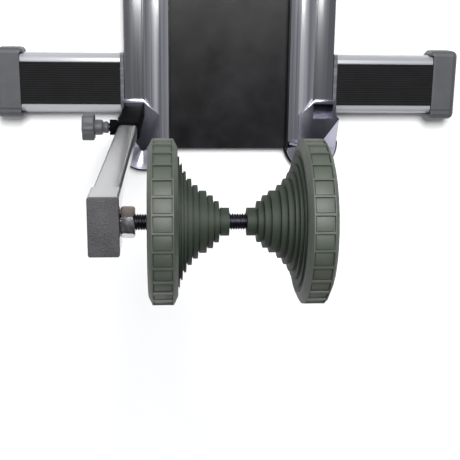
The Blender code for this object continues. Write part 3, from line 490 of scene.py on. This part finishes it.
def moulded_plastic(name, dark, light, roughness, grain, depth):
    """Moulded plastic: a spark-eroded grain so many per metre, with slight clouding from the flow."""
    material, tree, shader, place = new_material(name, roughness, ior=1.49)
    pits = add_node(tree, "ShaderNodeTexVoronoi", [("Scale", grain)], [("Vector", place)])
    grains = noise(tree, place, grain, 3.0)
    both = add_node(tree, "ShaderNodeMix", [("Factor", GRAIN_SHARE)],
                    [("A", noise(tree, place, FLOW_CLOUD, 3.0)), ("B", grains)])
    two_tones(tree, shader, both.outputs["Result"], dark, light, 0.32, 0.68)
    vary_roughness(tree, shader, grains, roughness * 0.85, roughness * 1.15)
    add_bump(tree, shader, pits.outputs["Distance"], depth, GRAIN_HEIGHT)
    return material


black_plastic = moulded_plastic("moulded_black_plastic", "#3d3e41", "#4d4e51", 0.50, 3000.0, 0.25)
for node in ("wing_cap_left", "wing_cap_right", "front_cap_left", "front_cap_right", "post_plug", "rod_cap"):
    dress(node, black_plastic)

# The head's lid is a pressed-in end cap of the kind that closes steel tube, in grey polyethylene.
# Its top has a coarser, speckled grain, about half a millimetre, that the light picks out.
LID_THICKNESS = 0.0012
LID_CORNER = 0.0014
LID_CORNER_STEPS = 6
LID_EDGE = 0.0005
PLUG_INSET = 0.0023
PLUG_HEIGHT = 0.0024
PLUG_DROP = 0.0010
PLUG_EDGE = 0.0004
lid_plastic = moulded_plastic("speckled_lid_plastic", "#19191b", "#414144", 0.58, 1300.0, 1.0)
low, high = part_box("head_cap")
middle = (low + high) / 2
lid_bottom = high.z - LID_THICKNESS
lid = make_box((middle.x, middle.y, (high.z + lid_bottom) / 2),
               (high.x - low.x, high.y - low.y, high.z - lid_bottom))
bpy.ops.object.mode_set(mode="EDIT")
bpy.ops.mesh.select_mode(type="EDGE")
bpy.ops.mesh.select_all(action="DESELECT")
bpy.ops.object.mode_set(mode="OBJECT")
for edge in lid.data.edges:
    first, second = (lid.data.vertices[i].co for i in edge.vertices)
    edge.select = abs(first.z - second.z) > LID_THICKNESS / 2
bpy.ops.object.mode_set(mode="EDIT")
bpy.ops.mesh.bevel(offset=LID_CORNER, segments=LID_CORNER_STEPS, affect="EDGES")
bpy.ops.object.mode_set(mode="OBJECT")
bevel(lid, LID_EDGE, 3, 60)
smooth(30)
settle(lid, "head_lid", lid_plastic, "post")
plug = make_box((middle.x, middle.y, lid_bottom - PLUG_DROP),
                (high.x - low.x - 2 * PLUG_INSET, high.y - low.y - 2 * PLUG_INSET, PLUG_HEIGHT))
bevel(plug, PLUG_EDGE, 2, 30)
settle(plug, "head_lid_plug", lid_plastic, "post")
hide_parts("head_cap")
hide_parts("head_cap")

# Each heel stands in a boot of black rubber, pressed in a mould, whose lip shows round the casting.
# Rubber is matt, and it goes a little grey where it was handled.
BOOT_LIP = 0.0028
BOOT_GRIP = 0.0030
BOOT_FRONT = 0.004
BOOT_EDGE = 0.0011
BOOT_SIDES = 96
rubber = moulded_plastic("pressed_black_rubber", "#0b0b0c", "#171719", 0.75, 1500.0, 0.2)
socket_of(rubber, "Specular IOR Level").default_value = 0.2
for side, sign in (("left", -1), ("right", 1)):
    low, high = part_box("foot_pad_" + side)
    height = high.z + BOOT_GRIP - low.z
    bpy.ops.object.select_all(action="DESELECT")
    bpy.ops.mesh.primitive_cylinder_add(vertices=BOOT_SIDES, radius=HEEL_RADIUS + BOOT_LIP, depth=height,
                                        location=(sign * HEEL_CENTRE[0], HEEL_CENTRE[1], low.z + height / 2))
    boot = bpy.context.object
    bpy.ops.object.transform_apply(location=True, rotation=True, scale=True)
    bpy.ops.object.mode_set(mode="EDIT")
    bpy.ops.mesh.select_all(action="SELECT")
    bpy.ops.mesh.bisect(plane_co=(0.0, HEEL_CENTRE[1] + BOOT_FRONT, 0.0), plane_no=(0.0, 1.0, 0.0),
                        clear_outer=True, use_fill=True)
    bpy.ops.object.mode_set(mode="OBJECT")
    bevel(boot, BOOT_EDGE, 4, 60)
    smooth(30)
    settle(boot, "foot_pad_%s_boot" % side, rubber, "base")
    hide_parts("foot_pad_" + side)

# A tread mat is one rubber strip on each wing, with fine ribs along it that grip a shoe.
# It is pressed with its ribs two and a half millimetres apart, and glued down.
MAT_MARGIN = 0.002
MAT_CORNER = 0.0006
MAT_EDGE = 0.00015
RIB_PITCH = 0.0025
RIB_HEIGHT = 0.0004
RIB_GAP = 0.0014
RIB_SLOPE = 0.0004
for side in ("left", "right"):
    low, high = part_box("tread_mat_" + side)
    middle = (low + high) / 2
    gaps = int((high.y - low.y - 2 * MAT_MARGIN) / RIB_PITCH)
    first_y = middle.y - gaps * RIB_PITCH / 2
    outline = [(high.y, low.z), (high.y, high.z - MAT_CORNER), (high.y - MAT_CORNER, high.z)]
    for i in range(gaps, 0, -1):
        gap_y = first_y + i * RIB_PITCH
        outline += [(gap_y, high.z), (gap_y - RIB_SLOPE, high.z - RIB_HEIGHT),
                    (gap_y - RIB_GAP + RIB_SLOPE, high.z - RIB_HEIGHT), (gap_y - RIB_GAP, high.z)]
    outline += [(low.y + MAT_CORNER, high.z), (low.y, high.z - MAT_CORNER), (low.y, low.z)]
    mat = extruded([(low.x, y, z) for y, z in outline], (high.x - low.x, 0.0, 0.0))
    bevel(mat, MAT_EDGE, 1, 30)
    smooth(30)
    settle(mat, "tread_mat_%s_ribbed" % side, rubber, "base")
    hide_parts("tread_mat_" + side)

# The two cones are injection moulded in army green plastic, with a fine matt grain like an eggshell's.
# Each is a ribbed shell with a rim of thirty flat pads, and its brass insert screws along the rod.
# The steps are painted a darker green than the rims, as painted shade.
CONE_RADIUS = 0.0500
RIM_WIDTH = 0.0175
RIM_CHAMFER = 0.0025
RIM_DROP = 0.0052
RIM_WALL = 0.0066
RIM_EDGE = 0.00014
PADS = 30
PAD_FRAME = 0.0007
PAD_DEPTH = 0.0008
PAD_DRAFT = 0.00002
MOAT_DEPTH = 0.0009
MOAT_WIDTH = 0.00045
STEPS = (
    (0.0400, 0.0010),
    (0.0350, 0.0017),
    (0.0304, 0.0022),
    (0.0260, 0.0033),
    (0.0222, 0.0037),
    (0.0188, 0.0052),
    (0.0160, 0.0039),
    (0.0125, 0.0036),
    (0.0085, 0.0062),
)
STEP_GROOVE = 0.0009
STEP_EDGE = 0.00020
STEP_SIDES = 96
SHELL = 0.003
SHELL_LAP = 0.0008
SHELL_INSET = 0.0001
HUB = 0.0115
HUB_INSET = 0.0004
POCKET = 0.0078
BORE = 0.0053
INSERT_LENGTH = 0.0163
RIBS = 6
RIB_TOP = -0.0020
RIB_TOP_WIDTH = 0.0025
RIB_FOOT_WIDTH = 0.0029
RIB_FOOT_AT_RIM = -0.0156
RIB_FOOT_AT_HUB = -0.0246
RIB_LAP = 0.0004
RIB_EDGE = 0.0003
WELD = 0.00001


def grown_ring(radius, height):
    """Extrudes the selected rim and sets the new one to a radius and a height about the local Z."""
    bpy.ops.mesh.extrude_region_move()
    bpy.ops.object.mode_set(mode="OBJECT")
    for vertex in bpy.context.object.data.vertices:
        if vertex.select:
            flat = Vector((vertex.co.x, vertex.co.y)).normalized() * radius
            vertex.co = (flat.x, flat.y, height)
    bpy.ops.object.mode_set(mode="EDIT")


def select_level(piece, height):
    """Selects the edges of a piece that lie at one height."""
    bpy.ops.mesh.select_mode(type="EDGE")
    bpy.ops.mesh.select_all(action="DESELECT")
    bpy.ops.object.mode_set(mode="OBJECT")
    corners = piece.data.vertices
    for edge in piece.data.edges:
        edge.select = all(abs(corners[i].co.z - height) < LEVEL_TOLERANCE / 2 for i in edge.vertices)
    bpy.ops.object.mode_set(mode="EDIT")


def weld():
    """Joins the points of the mesh in edit mode that meet, turns its faces outwards, and leaves that mode."""
    bpy.ops.mesh.select_all(action="SELECT")
    bpy.ops.mesh.remove_doubles(threshold=WELD)
    bpy.ops.mesh.normals_make_consistent(inside=False)
    bpy.ops.object.mode_set(mode="OBJECT")


def spun(profile, steps):
    """A closed solid: an outline of radii and heights, spun about the local Z."""
    bpy.ops.object.select_all(action="DESELECT")
    bpy.ops.mesh.primitive_circle_add(vertices=len(profile), radius=0.01, location=(0.0, 0.0, 0.0))
    solid = bpy.context.object
    for vertex, (radius, height) in zip(solid.data.vertices, profile):
        vertex.co = (radius, 0.0, height)
    bpy.ops.object.mode_set(mode="EDIT")
    bpy.ops.mesh.select_all(action="SELECT")
    bpy.ops.mesh.spin(steps=steps, angle=2 * math.pi, center=(0.0, 0.0, 0.0), axis=(0.0, 0.0, 1.0))
    weld()
    return solid


def make_rim():
    """The rim band, about the local Z, with its outer face at zero and thirty recessed pads."""
    bpy.ops.object.select_all(action="DESELECT")
    bpy.ops.mesh.primitive_cylinder_add(vertices=PADS, radius=CONE_RADIUS, depth=RIM_WIDTH - 2 * RIM_CHAMFER,
                                        end_fill_type="NOTHING", location=(0.0, 0.0, 0.0))
    rim = bpy.context.object
    rim.data.transform(Matrix.Translation((0.0, 0.0, -RIM_WIDTH / 2)))
    bpy.ops.object.mode_set(mode="EDIT")
    bpy.ops.mesh.select_all(action="SELECT")
    for thickness, depth in ((PAD_FRAME, 0.0), (PAD_DRAFT, -PAD_DEPTH - MOAT_DEPTH), (MOAT_WIDTH, 0.0),
                             (PAD_DRAFT, MOAT_DEPTH)):
        bpy.ops.mesh.inset(thickness=thickness, depth=depth, use_individual=True)
    for edge_height, face_height in ((-RIM_CHAMFER, 0.0), (RIM_CHAMFER - RIM_WIDTH, -RIM_WIDTH)):
        select_level(rim, edge_height)
        grown_ring(CONE_RADIUS - RIM_DROP, face_height)
        grown_ring(CONE_RADIUS - RIM_WALL, face_height)
    bpy.ops.mesh.select_mode(type="VERT")
    bpy.ops.mesh.select_all(action="DESELECT")
    bpy.ops.object.mode_set(mode="OBJECT")
    for vertex in rim.data.vertices:
        radius = Vector((vertex.co.x, vertex.co.y)).length
        vertex.select = radius < CONE_RADIUS - (RIM_DROP + RIM_WALL) / 2
    bpy.ops.object.mode_set(mode="EDIT")
    bpy.ops.mesh.select_mode(type="EDGE")
    bpy.ops.mesh.bridge_edge_loops()
    weld()
    bevel(rim, RIM_EDGE, 2, 20)
    smooth(30)
    return rim


def make_horn():
    """The stepped shell with its hub, spun about the local Z from its section."""
    edge_radius = CONE_RADIUS - RIM_WALL + SHELL_LAP
    section = [(edge_radius, SHELL_INSET - RIM_WIDTH)]
    depth = -RIM_WIDTH
    hollow = []
    for radius, length in STEPS:
        section += [(radius - STEP_GROOVE, depth), (radius - STEP_GROOVE, depth - STEP_GROOVE),
                    (radius, depth - STEP_GROOVE)]
        if radius - SHELL > HUB + SHELL:
            hollow.append((radius - SHELL, depth + SHELL))
        depth -= length
        section.append((radius, depth))
    section += [(BORE, depth), (BORE, -INSERT_LENGTH), (POCKET, -INSERT_LENGTH), (POCKET, -HUB_INSET),
                (HUB, -HUB_INSET), (HUB, hollow[-1][1])]
    section += reversed(hollow)
    section.append((edge_radius, SHELL - RIM_WIDTH))
    horn = spun(section, STEP_SIDES)
    bevel(horn, STEP_EDGE, 2, 40)
    smooth(30)
    return horn


def make_ribs():
    """Six ribs that tie the hub to the rim, each deeper at the hub."""
    bpy.ops.object.select_all(action="DESELECT")
    bpy.ops.mesh.primitive_cube_add(size=1.0, location=(0.0, 0.0, 0.0))
    ribs = bpy.context.object
    for vertex in ribs.data.vertices:
        at_rim = vertex.co.x > 0
        at_foot = vertex.co.z < 0
        vertex.co.x = CONE_RADIUS - RIM_WALL + RIB_LAP if at_rim else (HUB + POCKET) / 2
        vertex.co.y *= RIB_FOOT_WIDTH if at_foot else RIB_TOP_WIDTH
        vertex.co.z = RIB_TOP
        if at_foot:
            vertex.co.z = RIB_FOOT_AT_RIM if at_rim else RIB_FOOT_AT_HUB
    bpy.ops.object.mode_set(mode="EDIT")
    for i in range(1, RIBS):
        bpy.ops.mesh.select_all(action="DESELECT")
        bpy.ops.object.mode_set(mode="OBJECT")
        for polygon in ribs.data.polygons[:6]:
            polygon.select = True
        bpy.ops.object.mode_set(mode="EDIT")
        bpy.ops.mesh.select_mode(type="FACE")
        bpy.ops.mesh.duplicate()
        bpy.ops.object.mode_set(mode="OBJECT")
        turn = Matrix.Rotation(2 * math.pi * i / RIBS, 3, "Z")
        for vertex in ribs.data.vertices:
            if vertex.select:
                vertex.co = turn @ vertex.co
        bpy.ops.object.mode_set(mode="EDIT")
    bpy.ops.object.mode_set(mode="OBJECT")
    bevel(ribs, RIB_EDGE, 2, 30)
    smooth(30)
    return ribs


green = moulded_plastic("army_green_moulded_plastic", "#30362f", "#42493f", 0.55, 2600.0, 0.25)
shade_painted_green = moulded_plastic("army_green_painted_shade", "#1e251e", "#293128", 0.60, 2600.0, 0.25)
socket_of(shade_painted_green, "Specular IOR Level").default_value = 0.25
cone_pieces = {"rim": make_rim(), "horn": make_horn(), "ribs": make_ribs()}
for side, turn in (("left", -math.pi / 2), ("right", math.pi / 2)):
    low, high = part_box("cone_" + side)
    axis_point = (low + high) / 2
    axis_point.x = low.x if side == "left" else high.x
    for kind, source in cone_pieces.items():
        piece = source.copy()
        piece.data = source.data.copy()
        bpy.context.collection.objects.link(piece)
        piece.matrix_world = Matrix.Translation(axis_point) @ Matrix.Rotation(turn, 4, "Y")
        # The horns take the darker green: painted shade on the steps.
        finish = shade_painted_green if kind == "horn" else green
        settle(piece, "cone_%s_%s" % (side, kind), finish, side + "_cone")
        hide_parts("cone_" + side)
for source in cone_pieces.values():
    bpy.data.objects.remove(source)

# Rod and stud are steel, blackened in hot oxide, which leaves a dark oily film with a blue edge.
# The rod's thread is cut at the real pitch of an M10 rod, a millimetre and a half.
THREAD_PITCH = 0.0015
THREAD_DEPTH = 0.0009
THREAD_SIDES = 32
THREAD_SMOOTH = 32
FILM_CLOUD = 300.0
CORE_LAP = 0.0001
ROD_EDGE = 0.0006
oxide, tree, shader, place = new_material("black_oxide_steel", 0.38, metallic=0.85)
film = noise(tree, place, FILM_CLOUD, 4.0)
two_tones(tree, shader, film, "#15151a", "#34353d")
vary_roughness(tree, shader, film, 0.25, 0.5)
dress("knob_stud", oxide)


def make_thread(length, radius):
    """A threaded rod from zero along the local Z: one turn's strip, screwed up the length."""
    root = radius - THREAD_DEPTH
    tooth = ((root, 0.00), (root, 0.12), (radius, 0.46), (radius, 0.62), (root, 1.00))
    points = [(r, 0.0, share * THREAD_PITCH) for r, share in tooth]
    outline = bpy.data.meshes.new("thread_tooth")
    outline.from_pydata(points, [(i, i + 1) for i in range(len(points) - 1)], [])
    bpy.ops.object.select_all(action="DESELECT")
    bpy.ops.mesh.primitive_plane_add(size=1.0, location=(0.0, 0.0, 0.0))
    thread = bpy.context.object
    thread.data = outline
    use_modifier(thread, "SCREW", angle=2 * math.pi, screw_offset=THREAD_PITCH,
                 iterations=int(length / THREAD_PITCH) - 1, steps=THREAD_SIDES, render_steps=THREAD_SIDES,
                 use_merge_vertices=False, use_smooth_shade=True)
    bpy.ops.object.mode_set(mode="EDIT")
    weld()
    smooth(THREAD_SMOOTH)
    return thread


def bar_along_x(centre, radius, length, sides):
    """A bar with so many sides, along X."""
    bpy.ops.object.select_all(action="DESELECT")
    bpy.ops.mesh.primitive_cylinder_add(vertices=sides, radius=radius, depth=length, location=centre,
                                        rotation=(0.0, math.pi / 2, 0.0))
    return bpy.context.object


rod_low, rod_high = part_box("threaded_rod")
rod_axis = (rod_low + rod_high) / 2
thread = make_thread(rod_high.x - rod_low.x, (rod_high.z - rod_low.z) / 2)
thread.matrix_world = (Matrix.Translation((rod_low.x, rod_axis.y, rod_axis.z))
                       @ Matrix.Rotation(math.pi / 2, 4, "Y"))
settle(thread, "rod_thread", oxide, "post")
core = bar_along_x(rod_axis, rod_axis.z - rod_low.z - THREAD_DEPTH + CORE_LAP, rod_high.x - rod_low.x,
                   THREAD_SIDES)
bevel(core, ROD_EDGE, 2, 30)
smooth(THREAD_SMOOTH)
settle(core, "rod_core", oxide, "post")
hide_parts("threaded_rod")
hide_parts("threaded_rod")

# The lock nut and the nut in the head are cold formed steel under bright zinc.
# Zinc is pale with a faint blue cast, and browner on the flank that faces the front of the stand.
BROWN_FLANK_START = 0.0045
BROWN_FLANK_END = 0.0055
SPANGLE = 420.0
SPANGLE_HEIGHT = 0.0002
NUT_SIDES = 6
NUT_CHAMFER = 0.0013
NUT_EDGE = 0.0002
NUT_BORE = 0.0051
DRILL_LENGTH = 0.02
DRILL_SIDES = 48
FORMING_SIDES = 64
FORMING_PLAY = 0.00005
zinc, tree, shader, place = new_material("bright_zinc_plate", 0.16, metallic=1.0)
low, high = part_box("lock_nut")
middle = (low + high) / 2
spangle = noise(tree, place, SPANGLE, 5.0)
plate = two_tones(tree, shader, spangle, "#a9a6a6", "#ccced4", 0.3, 0.7)
flank = fade(tree, coordinate(tree, place, "Y"), middle.y + BROWN_FLANK_START, middle.y + BROWN_FLANK_END, 0.0, 1.0)
tint(tree, shader, flank, plate, "#80746f")
vary_roughness(tree, shader, spangle, 0.20, 0.32)
add_bump(tree, shader, spangle, 0.2, SPANGLE_HEIGHT)
dress("inner_nut", zinc)
corner_radius = (high.y - low.y) / 2
forming = bar_along_x(middle, corner_radius + FORMING_PLAY, high.x - low.x, FORMING_SIDES)
bevel(forming, NUT_CHAMFER, 1, 60)
nut = bar_along_x(middle, corner_radius, high.x - low.x, NUT_SIDES)
combine(nut, forming, "INTERSECT")
combine(nut, bar_along_x(middle, NUT_BORE, DRILL_LENGTH, DRILL_SIDES), "DIFFERENCE")
bevel(nut, NUT_EDGE, 2, 35)
smooth(30)
settle(nut, "lock_nut_chamfered", zinc, "post")
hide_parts("lock_nut")

# The clamp's star knob is one moulding: a head with six soft lobes, a round neck and a ball-like collar.
# Its stud is moulded in, and a finger's grip fits between the lobes.
LOBES = 6
LOBE_DEPTH = 0.0022
KNOB_SIDES = 96
KNOB_EDGE = 0.0016
HEAD_LENGTH = 0.0120
NECK_SIDES = 64
NECK_PROFILE = (
    (0.0043, 0.0),
    (0.0066, -0.0020),
    (0.0074, 0.0010),
    (0.0075, 0.0022),
    (0.0074, 0.0058),
    (0.0070, 0.0074),
    (0.0062, 0.0080),
    (0.0050, 0.0083),
    (0.0053, 0.0090),
    (0.0057, 0.0102),
    (0.0058, 0.0112),
    (0.0056, 0.0124),
    (0.0050, 0.0132),
    (0.0043, 0.0135),
)
low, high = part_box("clamp_knob")
middle = (low + high) / 2
mean_radius = (high.y - low.y) / 2 - LOBE_DEPTH / 2
outline = []
for i in range(KNOB_SIDES):
    angle = 2 * math.pi * i / KNOB_SIDES
    radius = mean_radius + LOBE_DEPTH / 2 * math.cos(LOBES * angle)
    outline.append((radius * math.cos(angle), radius * math.sin(angle), 0.0))
knob = extruded(outline, (0.0, 0.0, HEAD_LENGTH))
bevel(knob, KNOB_EDGE, 4, 60)
smooth(30)
neck = spun(NECK_PROFILE, NECK_SIDES)
smooth(40)
for piece, start, name in ((knob, low.x, "knob_head"), (neck, low.x + HEAD_LENGTH, "knob_neck")):
    piece.matrix_world = (Matrix.Translation((start, middle.y, middle.z))
                          @ Matrix.Rotation(math.pi / 2, 4, "Y"))
    settle(piece, name, black_plastic, "knob")
    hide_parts("clamp_knob")

# The inserts and the clamp's pad are turned from brass bar, so fine rings run round them.
# Brass is warm and pale where it is freshly cut.
TURNED_RINGS = 450.0
brass, tree, shader, place = new_material("turned_brass", 0.30, metallic=1.0)
rings = add_node(tree, "ShaderNodeTexWave", [("Scale", TURNED_RINGS), ("Distortion", 1.0)],
                 [("Vector", place)], bands_direction="X")
two_tones(tree, shader, rings.outputs["Fac"], "#a98d4a", "#c8ad69")
for node in ("insert_left", "insert_right", "clamp_pad"):
    dress(node, brass)
